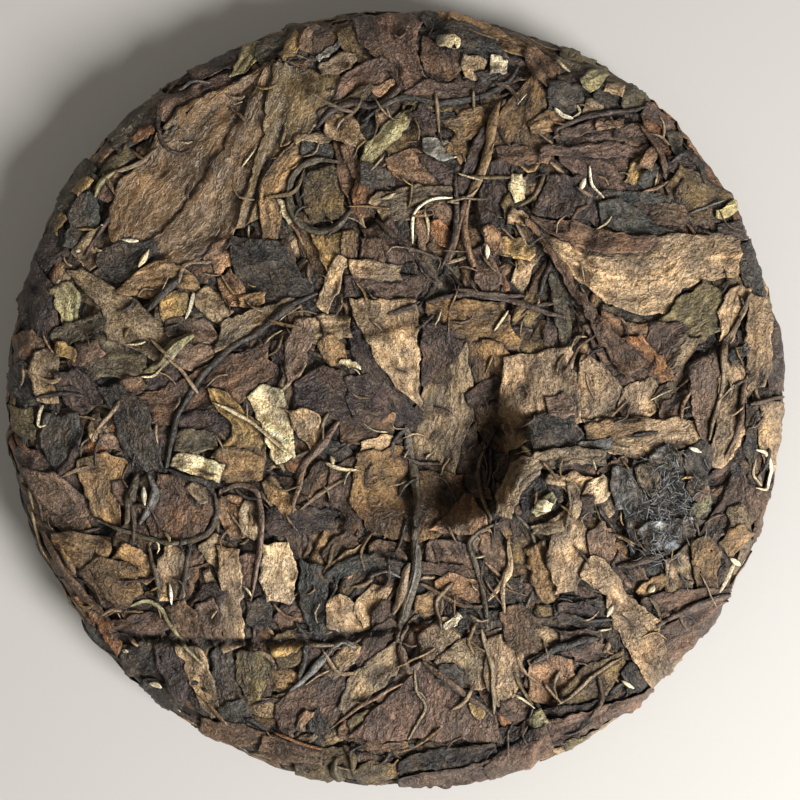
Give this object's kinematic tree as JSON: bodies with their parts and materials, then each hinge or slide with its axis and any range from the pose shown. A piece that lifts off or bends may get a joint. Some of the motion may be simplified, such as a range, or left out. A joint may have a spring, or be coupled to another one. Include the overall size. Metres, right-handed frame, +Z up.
{
  "type": "pressed tea cake",
  "caption": "Round cake of pressed white tea leaves and stems, with a rounded rim and an off-centre hollow in its upper face.",
  "frame": {"origin": "under the centre of the cake, on the surface that it lies on", "axes": "+Z up through the cake's thickness, with the hollowed face on top; the hollow lies off centre towards +X and -Y"},
  "size_m": [0.2006, 0.2006, 0.0252],
  "materials": {
    "pressed_leaf": "dry pressed leaves and stems, brown, tan, mauve and charcoal, with a faint satin sheen"
  },
  "bodies": {
    "root": {"tea_cake": "pressed_leaf"}
  },
  "joints": []
}
